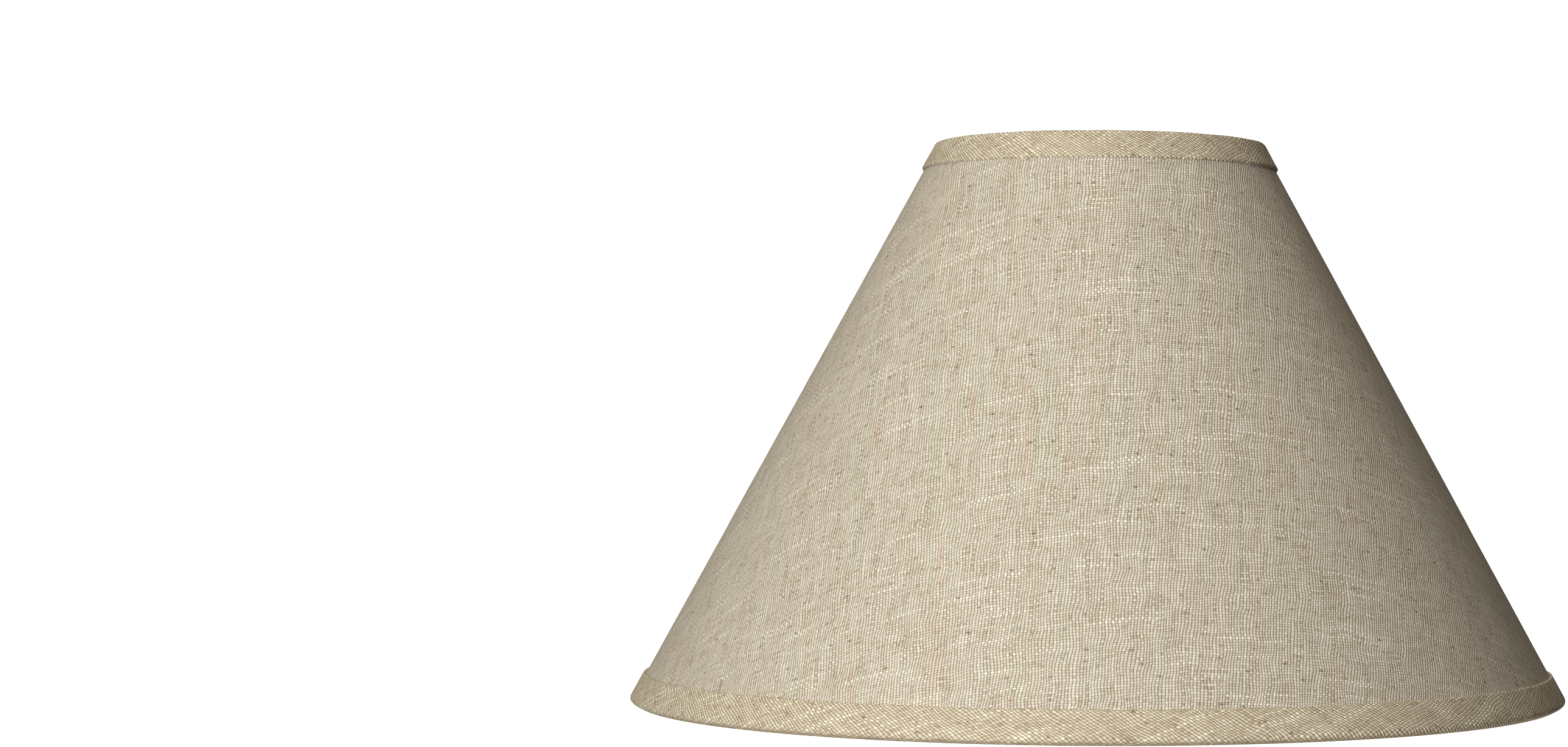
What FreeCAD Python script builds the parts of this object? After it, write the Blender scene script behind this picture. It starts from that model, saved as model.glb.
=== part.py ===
import FreeCAD, Part
import math
import os

import Sketcher

# A hard-back empire lamp shade with a washer (spider) fitter. Millimetres, +Z up.
# The origin is on the shade's axis, in the plane that it stands on. The cloth's seam is at the back, +Y.
#
# The wall is described in slope coordinates: "along" is measured up or down the wall from the edge of
# the stiff liner, and "out" is measured outwards from the liner's inner face, square to the wall.

DRIVING_SIZES = {
    "top_diameter": 152.4,  # over the top trim's outer corner, 6 in
    "bottom_diameter": 431.8,  # over the bottom trim's outer corner, 17 in
    "slant_height": 292.1,  # along the wall over both trims, 11.5 in
    "liner_thickness": 0.4,
    "liner_joint": 0.3,  # slit where the liner's two ends meet
    "cover_thickness": 0.6,
    "glue_gap": 0.1,  # glue film between laminated pieces
    "trim_slack": 0.25,  # glue between the tape and what it is folded over, the ring and the wall's edge
    "seam_lap": 12.0,  # how far the cloth's end lies over its start
    "seam_riser": 1.5,  # width of the step from the cloth's turn up to its lap
    "seam_tape_width": 8.0,
    "seam_tape_thickness": 0.15,
    "trim_thickness": 1.25,  # folded tape, two layers of cloth
    "top_trim_width": 12.7,
    "bottom_trim_width": 12.7,
    "trim_turn_in": 10.0,  # how far the tape reaches up or down the liner's inner face
    "trim_landing": 6.5,  # where the tape meets the liner again behind the ring
    "trim_press": 0.15,  # flat that the shade's own weight presses into the bottom trim
    "ring_wire": 3.0,
    "arm_wire": 2.8,
    "arm_bend_radius": 10.0,
    "arm_level_run": 5.0,  # level stretch of an arm outside the washer
    "arm_end_margin": 2.5,  # from the washer's bore to an arm's inner end
    "arm_trim_clearance": 0.2,  # round an arm where it passes through the trim
    "weld_depth": 0.4,  # how far the washer is set into the arms
    "washer_diameter": 31.75,
    "washer_thickness": 1.6,
    "washer_bore": 11.1,  # clears a 3/8 in harp stud
    "washer_chamfer": 0.3,
    "fitter_drop": 12.7,  # from the top edge down to the washer's upper face
}

ARM_AZIMUTHS = (270, 30, 150)

LAYOUT_FORMULAS = {
    "wall_angle": "asin((Sizes.bottom_diameter - Sizes.top_diameter) / 2 / Sizes.slant_height)",
    "wrap": "Sizes.trim_slack + Sizes.trim_thickness",
    "stack": "Sizes.liner_thickness + Sizes.cover_thickness + Sizes.trim_thickness + 2 * Sizes.glue_gap",
    "cover_inside": "Sizes.liner_thickness + Sizes.glue_gap",
    "cover_outside": "Sizes.liner_thickness + Sizes.glue_gap + Sizes.cover_thickness",
    "tape_inside": "Layout.cover_outside + Sizes.glue_gap",
    "tape_outside": "Layout.tape_inside + Sizes.seam_tape_thickness",
    "lap_inside": "Layout.tape_outside + Sizes.glue_gap",
    "lap_outside": "Layout.lap_inside + Sizes.cover_thickness",
    "ring_out": "-Sizes.glue_gap - Sizes.ring_wire / 2",
    "hug": "Sizes.ring_wire / 2 + Layout.wrap",
    "foot_height": (
        "Layout.hug * (1 - cos(Layout.wall_angle))"
        " + (Layout.stack - Layout.ring_out) * sin(Layout.wall_angle) - Sizes.trim_press"
    ),
    "top_height": "Layout.foot_height + Sizes.slant_height * cos(Layout.wall_angle)",
    "washer_top": "Layout.top_height - Sizes.fitter_drop",
    "washer_underside": "Layout.washer_top - Sizes.washer_thickness",
    "arm_level": "Layout.washer_underside - Sizes.arm_wire / 2 + Sizes.weld_depth",
    "arm_end_radius": "Sizes.washer_bore / 2 + Sizes.arm_end_margin",
}


# ---------------------------------------------------------------- document, sizes and layout


def add_sizes(doc):
    """The spreadsheet of driving dimensions."""
    sheet = doc.addObject("Spreadsheet::Sheet", "Sizes")
    for row, (alias, value) in enumerate(DRIVING_SIZES.items(), start=1):
        sheet.set(f"A{row}", alias)
        sheet.set(f"B{row}", str(value))
        sheet.setAlias(f"B{row}", alias)
    doc.recompute()


def add_layout(doc):
    """The values that follow from the driving dimensions, as a variable set bound to the sheet."""
    layout = doc.addObject("App::VarSet", "Layout")
    for name, formula in LAYOUT_FORMULAS.items():
        layout.addProperty("App::PropertyFloat", name)
        layout.setExpression(name, formula)
    for edge in ("bottom", "top"):
        radius, height = wall_point(edge, "Sizes.ring_wire / 2", "Layout.ring_out")
        layout.addProperty("App::PropertyFloat", f"{edge}_ring_radius")
        layout.setExpression(f"{edge}_ring_radius", radius)
        layout.addProperty("App::PropertyFloat", f"{edge}_ring_height")
        layout.setExpression(f"{edge}_ring_height", height)
    doc.recompute()


def wall_point(edge, along, out):
    """The radius and height, as expressions, of a point given in slope coordinates from one edge."""
    if edge == "bottom":
        climbed = f"(Layout.wrap + {along})"
    else:
        climbed = f"(Sizes.slant_height - Layout.wrap - ({along}))"
    inset = f"(Layout.stack - ({out}))"
    radius = f"Sizes.bottom_diameter / 2 - {climbed} * sin(Layout.wall_angle)"
    height = f"Layout.foot_height + {climbed} * cos(Layout.wall_angle)"
    return (
        f"{radius} - {inset} * cos(Layout.wall_angle)",
        f"{height} - {inset} * sin(Layout.wall_angle)",
    )


# ---------------------------------------------------------------- sketches


def new_sketch(body, name, plane):
    """A sketch on one of the body's own origin planes."""
    sketch = body.newObject("Sketcher::SketchObject", name)
    origin_plane = next(o for o in body.Origin.OriginFeatures if o.Role == plane)
    sketch.AttachmentSupport = (origin_plane, "")
    sketch.MapMode = "FlatFace"
    return sketch


def position(sketch, point):
    """The present place of a point given by two expressions."""
    across, up = point
    return FreeCAD.Vector(float(sketch.evalExpression(across)), float(sketch.evalExpression(up)), 0)


def bind(sketch, constraint, expression):
    """Adds a dimension and binds it to an expression."""
    index = sketch.addConstraint(constraint)
    sketch.setExpression(f"Constraints[{index}]", expression)


def pin(sketch, edge, end, point):
    """Holds one end of an edge, or an arc's centre (end 3), at a point given by two expressions."""
    place = position(sketch, point)
    bind(sketch, Sketcher.Constraint("DistanceX", -1, 1, edge, end, place.x), point[0])
    bind(sketch, Sketcher.Constraint("DistanceY", -1, 1, edge, end, place.y), point[1])


def add_line(sketch, first, last):
    """A line between two present places."""
    return sketch.addGeometry(Part.LineSegment(first, last), False)


def add_arc(sketch, centre, first, last):
    """The shorter arc between two places; returns the edge and which of its ends each place is."""
    spoke, last_spoke = first - centre, last - centre
    angles = math.atan2(spoke.y, spoke.x), math.atan2(last_spoke.y, last_spoke.x)
    turns_left = spoke.cross(last_spoke).z > 0
    start, stop = angles if turns_left else reversed(angles)
    circle = Part.Circle(centre, FreeCAD.Vector(0, 0, 1), spoke.Length)
    edge = sketch.addGeometry(Part.ArcOfCircle(circle, start, stop), False)
    return (edge, 1, 2) if turns_left else (edge, 2, 1)


def draw_polygon(sketch, corners):
    """A closed polygon with every corner pinned."""
    places = [position(sketch, corner) for corner in corners]
    edges = [
        add_line(sketch, place, places[(number + 1) % len(places)])
        for number, place in enumerate(places)
    ]
    for number, edge in enumerate(edges):
        following = edges[(number + 1) % len(edges)]
        sketch.addConstraint(Sketcher.Constraint("Coincident", edge, 2, following, 1))
        pin(sketch, edge, 1, corners[number])


def draw_circle(sketch, centre, radius):
    """A circle with its centre pinned and its radius bound."""
    size = float(sketch.evalExpression(radius))
    circle = Part.Circle(position(sketch, centre), FreeCAD.Vector(0, 0, 1), size)
    edge = sketch.addGeometry(circle, False)
    pin(sketch, edge, 3, centre)
    bind(sketch, Sketcher.Constraint("Radius", edge, size), radius)


def draw_axis_circle(sketch, radius):
    """A circle round the sketch's origin with its radius bound."""
    size = float(sketch.evalExpression(radius))
    circle = Part.Circle(FreeCAD.Vector(0, 0, 0), FreeCAD.Vector(0, 0, 1), size)
    edge = sketch.addGeometry(circle, False)
    sketch.addConstraint(Sketcher.Constraint("Coincident", edge, 3, -1, 1))
    bind(sketch, Sketcher.Constraint("Radius", edge, size), radius)


# ---------------------------------------------------------------- features shared by several pieces


def new_body(doc, label):
    body = doc.addObject("PartDesign::Body", label)
    body.Label = label
    return body


def revolve(body, sketch, kind="PartDesign::Revolution"):
    """A whole turn of a sketch about the shade's axis."""
    turn = body.newObject(kind, f"{body.Label}_{sketch.Label}_turn")
    turn.Profile = sketch
    turn.ReferenceAxis = (sketch, ["V_Axis"])
    turn.Angle = 360
    body.Tip = turn
    return turn


def band_body(doc, label, inside, outside):
    """A conical band as long as the wall, between two distances out from the liner's inner face."""
    body = new_body(doc, label)
    sketch = new_sketch(body, f"{label}_section", "YZ_Plane")
    doc.recompute()
    corners = [
        wall_point("bottom", "0", inside),
        wall_point("bottom", "0", outside),
        wall_point("top", "0", outside),
        wall_point("top", "0", inside),
    ]
    draw_polygon(sketch, corners)
    revolve(body, sketch)
    return body


def back_window(doc, label, left, width):
    """A block at the back of the shade that keeps or cuts what lies between two planes of constant x."""
    window = doc.addObject("Part::Box", label)
    window.setExpression("Length", width)
    window.setExpression("Width", "Sizes.bottom_diameter")
    window.setExpression("Height", "Sizes.slant_height")
    window.setExpression("Placement.Base.x", left)
    return window


def seam_strip(doc, label, inside, outside, left, width):
    """A strip up the wall at the back: the part of a conical band inside a window."""
    strip = doc.addObject("Part::Common", label)
    strip.Base = band_body(doc, f"{label}_band", inside, outside)
    strip.Tool = back_window(doc, f"{label}_window", left, width)
    strip.Label = label
    return strip


def cut(doc, label, base, tool):
    piece = doc.addObject("Part::Cut", label)
    piece.Base = base
    piece.Tool = tool
    piece.Label = label
    return piece


def fuse(doc, label, shapes):
    piece = doc.addObject("Part::MultiFuse", label)
    piece.Shapes = shapes
    piece.Label = label
    return piece


# ---------------------------------------------------------------- wire frame and fitter


def make_ring(doc, label, edge):
    """A wire ring that lies inside the wall at one edge."""
    ring = doc.addObject("Part::Torus", label)
    ring.Label = label
    ring.setExpression("Radius1", f"Layout.{edge}_ring_radius")
    ring.setExpression("Radius2", "Sizes.ring_wire / 2")
    ring.setExpression("Placement.Base.z", f"Layout.{edge}_ring_height")
    return ring


def draw_arm_path(sketch):
    """The arm's centre line: level under the washer, then one bend up to the top ring's centre."""
    inner = ("Layout.arm_end_radius", "Layout.arm_level")
    bend = ("Sizes.washer_diameter / 2 + Sizes.arm_level_run", "Layout.arm_level")
    ring = ("Layout.top_ring_radius", "Layout.top_ring_height")
    start, corner, end = (position(sketch, point) for point in (inner, bend, ring))
    radius = float(sketch.evalExpression("Sizes.arm_bend_radius"))
    climb = end - corner
    slope = math.atan2(climb.y, climb.x)
    centre = corner + FreeCAD.Vector(0, radius, 0)
    leave = centre + FreeCAD.Vector(radius * math.sin(slope), -radius * math.cos(slope), 0)
    level = add_line(sketch, start, corner)
    arc, arc_start, arc_stop = add_arc(sketch, centre, corner, leave)
    rise = add_line(sketch, leave, end)
    sketch.addConstraint(Sketcher.Constraint("Tangent", level, 2, arc, arc_start))
    sketch.addConstraint(Sketcher.Constraint("Tangent", arc, arc_stop, rise, 1))
    sketch.addConstraint(Sketcher.Constraint("Horizontal", level))
    bind(sketch, Sketcher.Constraint("Radius", arc, radius), "Sizes.arm_bend_radius")
    pin(sketch, level, 1, inner)
    bind(sketch, Sketcher.Constraint("DistanceX", -1, 1, level, 2, corner.x), bend[0])
    pin(sketch, rise, 2, ring)


def arm_body(doc, label, azimuth, wire_radius):
    """Round wire swept along the arm's centre line, turned to its place round the washer."""
    body = new_body(doc, label)
    path = new_sketch(body, f"{label}_path", "XZ_Plane")
    section = new_sketch(body, f"{label}_section", "YZ_Plane")
    section.setExpression("AttachmentOffset.Base.z", "Layout.arm_end_radius")
    doc.recompute()
    draw_arm_path(path)
    level = float(section.evalExpression("Layout.arm_level"))
    size = float(section.evalExpression(wire_radius))
    centre = FreeCAD.Vector(0, level, 0)
    circle = section.addGeometry(Part.Circle(centre, FreeCAD.Vector(0, 0, 1), size), False)
    section.addConstraint(Sketcher.Constraint("PointOnObject", circle, 3, -2))
    bind(section, Sketcher.Constraint("DistanceY", -1, 1, circle, 3, level), "Layout.arm_level")
    bind(section, Sketcher.Constraint("Radius", circle, size), wire_radius)
    doc.recompute()
    pipe = body.newObject("PartDesign::AdditivePipe", f"{label}_wire")
    pipe.Profile = section
    pipe.Spine = path
    body.Tip = pipe
    body.Placement = FreeCAD.Placement(
        FreeCAD.Vector(0, 0, 0), FreeCAD.Rotation(FreeCAD.Vector(0, 0, 1), azimuth)
    )
    return body


def make_arm(doc, label, azimuth):
    """A wire arm: coped round the top ring at one end, flattened under the washer at the other."""
    body = arm_body(doc, label, azimuth, "Sizes.arm_wire / 2")
    doc.recompute()
    wire_volume = body.Shape.Volume
    seats = new_sketch(body, f"{label}_seats", "XZ_Plane")
    doc.recompute()
    draw_circle(
        seats, ("Layout.top_ring_radius", "Layout.top_ring_height"), "Sizes.ring_wire / 2"
    )
    inner, outer = "Sizes.washer_bore / 2", "Sizes.washer_diameter / 2"
    corners = [
        (inner, "Layout.washer_underside"),
        (outer, "Layout.washer_underside"),
        (outer, "Layout.washer_top"),
        (inner, "Layout.washer_top"),
    ]
    draw_polygon(seats, corners)
    revolve(body, seats, "PartDesign::Groove")
    doc.recompute()
    check_removed(label, wire_volume, body.Shape.Volume)
    return body


def make_washer(doc, label):
    """The flat washer that sits on a harp's shoulder."""
    body = new_body(doc, label)
    sketch = new_sketch(body, f"{label}_outline", "XY_Plane")
    sketch.setExpression("AttachmentOffset.Base.z", "Layout.washer_underside")
    doc.recompute()
    draw_axis_circle(sketch, "Sizes.washer_diameter / 2")
    draw_axis_circle(sketch, "Sizes.washer_bore / 2")
    pad = body.newObject("PartDesign::Pad", f"{label}_pad")
    pad.Profile = sketch
    pad.setExpression("Length", "Sizes.washer_thickness")
    doc.recompute()
    rims = [
        f"Edge{number}"
        for number, edge in enumerate(pad.Shape.Edges, start=1)
        if edge.isClosed() and edge.BoundBox.ZMin > pad.Shape.BoundBox.Center.z
    ]
    chamfer = body.newObject("PartDesign::Chamfer", f"{label}_chamfer")
    chamfer.Base = (pad, rims)
    chamfer.setExpression("Size", "Sizes.washer_chamfer")
    body.Tip = chamfer
    return body


# ---------------------------------------------------------------- liner, cloth and seam


def make_liner(doc, label):
    """The stiff sheet that gives the shade its shape, its two ends meeting at the back."""
    sheet = band_body(doc, f"{label}_sheet", "0", "Sizes.liner_thickness")
    joint = back_window(doc, f"{label}_joint", "-Sizes.liner_joint / 2", "Sizes.liner_joint")
    return cut(doc, label, sheet, joint)


def make_cover(doc, label):
    """The cloth: one turn round the liner, a step, and the end that laps over the start."""
    turn = band_body(doc, f"{label}_turn", "Layout.cover_inside", "Layout.cover_outside")
    riser = seam_strip(
        doc, f"{label}_riser", "Layout.cover_inside", "Layout.lap_outside", "0", "Sizes.seam_riser"
    )
    lap = seam_strip(
        doc,
        f"{label}_lap",
        "Layout.lap_inside",
        "Layout.lap_outside",
        "-Sizes.seam_lap",
        "Sizes.seam_lap + Sizes.seam_riser",
    )
    return fuse(doc, label, [turn, riser, lap])


def make_seam_tape(doc, label):
    """The adhesive strip in the middle of the lap."""
    return seam_strip(
        doc,
        label,
        "Layout.tape_inside",
        "Layout.tape_outside",
        "-(Sizes.seam_lap + Sizes.seam_tape_width) / 2",
        "Sizes.seam_tape_width",
    )


# ---------------------------------------------------------------- trims


def draw_trim_section(sketch, edge, width):
    """Folded tape: down the cloth, across the wall's edge, round the ring and back onto the liner."""

    def at(along, out):
        return wall_point(edge, along, out)

    gap, thickness = "Sizes.glue_gap", "Sizes.trim_thickness"
    landing, turn_in = "Sizes.trim_landing", "Sizes.trim_turn_in"
    ring_centre = at("Sizes.ring_wire / 2", "Layout.ring_out")
    outer_face = [
        at(width, "Layout.stack"),
        at("-Layout.wrap", "Layout.stack"),
        at("-Layout.wrap", "Layout.ring_out"),
    ]
    inner_leg = [
        at(landing, f"-{gap} - {thickness}"),
        at(turn_in, f"-{gap} - {thickness}"),
        at(turn_in, f"-{gap}"),
        at(landing, f"-{gap}"),
    ]
    inner_face = [
        at("-Sizes.trim_slack", "Layout.ring_out"),
        at("-Sizes.trim_slack", f"Layout.stack - {thickness}"),
        at(width, f"Layout.stack - {thickness}"),
    ]
    centre = position(sketch, ring_centre)
    outer, leg, inner = (
        [position(sketch, point) for point in points]
        for points in (outer_face, inner_leg, inner_face)
    )
    outer_touch = inward_touch(centre, (outer[2] - centre).Length, leg[0])
    inner_touch = inward_touch(centre, (inner[0] - centre).Length, leg[3])

    down = add_line(sketch, outer[0], outer[1])
    across = add_line(sketch, outer[1], outer[2])
    outer_arc, outer_start, outer_stop = add_arc(sketch, centre, outer[2], outer_touch)
    outer_back = add_line(sketch, outer_touch, leg[0])
    leg_outside = add_line(sketch, leg[0], leg[1])
    leg_end = add_line(sketch, leg[1], leg[2])
    leg_inside = add_line(sketch, leg[2], leg[3])
    inner_back = add_line(sketch, leg[3], inner_touch)
    inner_arc, inner_start, inner_stop = add_arc(sketch, centre, inner_touch, inner[0])
    inner_across = add_line(sketch, inner[0], inner[1])
    inner_up = add_line(sketch, inner[1], inner[2])
    raw_edge = add_line(sketch, inner[2], outer[0])

    joined = [
        (down, 2, across, 1),
        (across, 2, outer_arc, outer_start),
        (outer_back, 2, leg_outside, 1),
        (leg_outside, 2, leg_end, 1),
        (leg_end, 2, leg_inside, 1),
        (leg_inside, 2, inner_back, 1),
        (inner_arc, inner_stop, inner_across, 1),
        (inner_across, 2, inner_up, 1),
        (inner_up, 2, raw_edge, 1),
        (raw_edge, 2, down, 1),
    ]
    for ends in joined:
        sketch.addConstraint(Sketcher.Constraint("Coincident", *ends))
    sketch.addConstraint(Sketcher.Constraint("Tangent", outer_arc, outer_stop, outer_back, 1))
    sketch.addConstraint(Sketcher.Constraint("Tangent", inner_back, 2, inner_arc, inner_start))
    pinned = [
        (down, outer_face[0]),
        (across, outer_face[1]),
        (leg_outside, inner_leg[0]),
        (leg_end, inner_leg[1]),
        (leg_inside, inner_leg[2]),
        (inner_back, inner_leg[3]),
        (inner_across, inner_face[0]),
        (inner_up, inner_face[1]),
        (raw_edge, inner_face[2]),
    ]
    for line, point in pinned:
        pin(sketch, line, 1, point)
    pin(sketch, across, 2, outer_face[2])
    pin(sketch, outer_arc, 3, ring_centre)
    pin(sketch, inner_arc, 3, ring_centre)


def inward_touch(centre, radius, outside):
    """Where a line from a point outside a circle touches it, on the side nearer the shade's axis."""
    reach = outside - centre
    half_angle = math.acos(radius / reach.Length)
    aim = math.atan2(reach.y, reach.x)
    touches = [
        centre + FreeCAD.Vector(math.cos(aim + turn), math.sin(aim + turn), 0) * radius
        for turn in (half_angle, -half_angle)
    ]
    return min(touches, key=lambda touch: touch.x)


def trim_body(doc, label, edge, width):
    body = new_body(doc, label)
    sketch = new_sketch(body, f"{label}_section", "YZ_Plane")
    doc.recompute()
    draw_trim_section(sketch, edge, width)
    revolve(body, sketch)
    return body


def make_seam_relief(doc, label):
    """The room that both trims leave for the cloth's lap."""
    return seam_strip(
        doc,
        label,
        "Layout.cover_outside",
        "Layout.lap_outside + Sizes.glue_gap",
        "-Sizes.seam_lap - Sizes.glue_gap",
        "Sizes.seam_lap + Sizes.seam_riser + 2 * Sizes.glue_gap",
    )


def make_bottom_trim(doc, label, seam_relief):
    """Tape round the bottom edge, relieved over the cloth's lap and pressed flat where it stands."""
    body = trim_body(doc, f"{label}_tape", "bottom", "Sizes.bottom_trim_width")
    doc.recompute()
    tape_volume = body.Shape.Volume
    sketch = new_sketch(body, f"{label}_ground", "XY_Plane")
    doc.recompute()
    draw_axis_circle(sketch, "Sizes.bottom_diameter")
    press = body.newObject("PartDesign::Pocket", f"{label}_press")
    press.Profile = sketch
    press.setExpression("Length", "Sizes.trim_press * 2")
    body.Tip = press
    doc.recompute()
    check_removed(label, tape_volume, body.Shape.Volume)
    return cut(doc, label, body, seam_relief)


def make_top_trim(doc, label, seam_relief):
    """Tape round the top edge, relieved over the cloth's lap and slit for the three arms."""
    body = trim_body(doc, f"{label}_tape", "top", "Sizes.top_trim_width")
    slits = [
        arm_body(
            doc,
            f"{label}_slit_{number}",
            azimuth,
            "Sizes.arm_wire / 2 + Sizes.arm_trim_clearance",
        )
        for number, azimuth in enumerate(ARM_AZIMUTHS, start=1)
    ]
    return cut(doc, label, body, fuse(doc, f"{label}_reliefs", [seam_relief, *slits]))


# ---------------------------------------------------------------- checks and export


def check_removed(label, before, after):
    """A cut that points the wrong way removes nothing, and must not pass unseen."""
    if not 0 < after < before:
        raise RuntimeError(f"{label}: the cut changed the volume from {before:.2f} to {after:.2f}")


def check_document(doc, pieces):
    for thing in doc.Objects:
        if "Invalid" in thing.State or "Error" in thing.State:
            raise RuntimeError(f"{thing.Label}: {thing.State}")
    for piece in pieces:
        if piece.Shape.isNull() or not piece.Shape.isValid():
            raise RuntimeError(f"{piece.Label}: its shape is missing or not valid")
        if len(piece.Shape.Solids) != 1:
            volumes = ", ".join(f"{solid.Volume:.3f}" for solid in piece.Shape.Solids)
            raise RuntimeError(f"{piece.Label}: not one solid but {volumes}")


def main():
    os.makedirs("parts", exist_ok=True)
    doc = FreeCAD.newDocument("lamp_shade")
    add_sizes(doc)
    add_layout(doc)
    seam_relief = make_seam_relief(doc, "seam_relief")
    pieces = [
        make_ring(doc, "top_ring", "top"),
        make_ring(doc, "bottom_ring", "bottom"),
        *(
            make_arm(doc, f"spider_arm_{number}", azimuth)
            for number, azimuth in enumerate(ARM_AZIMUTHS, start=1)
        ),
        make_washer(doc, "spider_washer"),
        make_liner(doc, "liner"),
        make_cover(doc, "cover"),
        make_seam_tape(doc, "seam_tape"),
        make_top_trim(doc, "top_trim", seam_relief),
        make_bottom_trim(doc, "bottom_trim", seam_relief),
    ]
    doc.recompute()
    check_document(doc, pieces)
    for piece in pieces:
        piece.Shape.exportStep(f"parts/{piece.Label}.step")
        box = piece.Shape.BoundBox
        print(
            f"{piece.Label}: {piece.Shape.Volume:.1f} mm3,"
            f" {box.XLength:.2f} x {box.YLength:.2f} mm, z {box.ZMin:.2f} to {box.ZMax:.2f}"
        )


main()
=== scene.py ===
import logging
import math
from collections.abc import Callable, Sequence
from dataclasses import dataclass
from enum import Enum
from typing import Any

import bpy
import numpy as np
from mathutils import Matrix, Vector, noise


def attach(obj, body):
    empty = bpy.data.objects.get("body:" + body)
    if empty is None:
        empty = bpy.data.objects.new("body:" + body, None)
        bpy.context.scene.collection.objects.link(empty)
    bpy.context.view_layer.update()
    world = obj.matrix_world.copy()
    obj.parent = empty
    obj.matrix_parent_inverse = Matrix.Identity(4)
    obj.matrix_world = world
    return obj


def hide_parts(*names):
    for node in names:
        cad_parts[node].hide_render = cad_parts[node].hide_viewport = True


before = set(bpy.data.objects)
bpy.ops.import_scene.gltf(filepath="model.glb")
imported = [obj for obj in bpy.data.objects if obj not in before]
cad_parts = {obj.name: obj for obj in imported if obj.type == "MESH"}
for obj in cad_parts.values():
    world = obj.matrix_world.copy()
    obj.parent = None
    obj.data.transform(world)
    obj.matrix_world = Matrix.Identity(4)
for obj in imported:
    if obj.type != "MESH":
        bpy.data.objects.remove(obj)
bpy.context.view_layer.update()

# A hard-back empire lamp shade: linen-look cloth on a stiff white liner, folded bias tape round both
# edges, two wire rings and a three-armed washer fitter. Metres, +Z up, the cloth's seam at the back, +Y.
# The wall is described in slope coordinates: "along" climbs the wall from an edge of the liner, "out" is
# measured square to the wall from the liner's inner face. Sizes are kept in millimetres.

MM = 0.001
MERGE_DISTANCE = 1e-6
CREASE_CLOTH, CREASE_TAPE, CREASE_METAL = 40, 50, 35
# sockets of the Mix node: its two numbers, its two colours, and its colour output
NUMBER_A, NUMBER_B, COLOUR_A, COLOUR_B, COLOUR_OUT = 2, 3, 6, 7, 2
LOG = logging.getLogger("lamp_shade")
Outline = list[tuple[float, float]]


class Edge(Enum):
    """The two edges of the wall."""

    BOTTOM = "bottom"
    TOP = "top"


# ---------------------------------------------------------------- the wall's shape


@dataclass(frozen=True)
class Wall:
    """The cone that everything is laid on, with the sizes of its layers in millimetres."""

    bottom_radius: float = 215.9
    slant_height: float = 292.1
    top_radius: float = 76.2
    liner: float = 0.4
    cover: float = 0.6
    trim: float = 1.25
    glue: float = 0.1
    slack: float = 0.25
    ring_wire: float = 3.0
    press: float = 0.15
    seam_tape: float = 0.15

    @property
    def sine(self) -> float:
        """Sine of the wall's lean from upright."""
        return (self.bottom_radius - self.top_radius) / self.slant_height

    @property
    def cosine(self) -> float:
        """Cosine of the wall's lean from upright."""
        return math.sqrt(1 - self.sine**2)

    @property
    def stack(self) -> float:
        """From the liner's inner face to the trim's outer face."""
        return self.liner + self.cover + self.trim + 2 * self.glue

    @property
    def wrap(self) -> float:
        """From the liner's edge to the trim's outermost edge."""
        return self.slack + self.trim

    @property
    def ring_out(self) -> float:
        """Where the rings' centres lie, inside the liner's inner face."""
        return -self.glue - self.ring_wire / 2

    @property
    def foot_height(self) -> float:
        """Height of the bottom trim's outer corner above the plane that the shade stands on."""
        hug = self.ring_wire / 2 + self.wrap
        return hug * (1 - self.cosine) + (self.stack - self.ring_out) * self.sine - self.press

    @property
    def length(self) -> float:
        """The liner's own length up the slope."""
        return self.slant_height - 2 * self.wrap

    def place(self, edge: Edge, along: float, out: float) -> tuple[float, float]:
        """Gives the radius and height of a point in slope coordinates.

        Args:
            edge: The edge that along is measured from, into the wall.
            along: Millimetres from that edge of the liner.
            out: Millimetres outwards from the liner's inner face.

        Returns:
            Radius from the axis and height, in millimetres.
        """
        climbed = self.wrap + along
        if edge is Edge.TOP:
            climbed = self.slant_height - climbed
        inset = self.stack - out
        radius = self.bottom_radius - climbed * self.sine - inset * self.cosine
        return radius, self.foot_height + climbed * self.cosine - inset * self.sine

    def band(self, inner: float, outer: float, rows: int) -> Outline:
        """Gives the section of one whole layer of the wall.

        Args:
            inner: Where its inner face lies, in millimetres out.
            outer: Where its outer face lies.
            rows: Steps up the wall.

        Returns:
            The closed section, up the outer face and down the inner one.
        """
        shares = [row / rows for row in range(rows + 1)]
        up = [self.place(Edge.BOTTOM, self.length * share, outer) for share in shares]
        down = [self.place(Edge.BOTTOM, self.length * share, inner) for share in reversed(shares)]
        return up + down

    def climb_of(self, radius: np.ndarray, height: np.ndarray) -> np.ndarray:
        """Distance up the slope from the bottom trim's outer corner, for arrays of places."""
        return (self.bottom_radius - radius) * self.sine + (height - self.foot_height) * self.cosine

    def out_of(self, radius: Any, height: Any) -> Any:
        """Distance out from the liner's inner face, for one place or for arrays of places."""
        inset = (self.bottom_radius - radius) * self.cosine - (height - self.foot_height) * self.sine
        return self.stack - inset

    def apex_distance(self) -> float:
        """From the cone's apex down the slope to the bottom trim's outer corner."""
        return self.bottom_radius / self.sine


# ---------------------------------------------------------------- mesh work


def deselect_all() -> None:
    """Leaves every object unselected."""
    bpy.ops.object.select_all(action="DESELECT")


def close_shell(open_ends: bool) -> None:
    """Merges doubled vertices, fills open ends and turns all faces outwards, then leaves edit mode.

    Args:
        open_ends: Whether the shell has two open ends to fill.
    """
    bpy.ops.mesh.select_all(action="SELECT")
    bpy.ops.mesh.remove_doubles(threshold=MERGE_DISTANCE)
    if open_ends:
        bpy.ops.mesh.select_all(action="DESELECT")
        bpy.ops.mesh.select_non_manifold()
        bpy.ops.mesh.edge_face_add()
    bpy.ops.mesh.select_all(action="SELECT")
    bpy.ops.mesh.normals_make_consistent(inside=False)
    bpy.ops.object.mode_set(mode="OBJECT")


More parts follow.
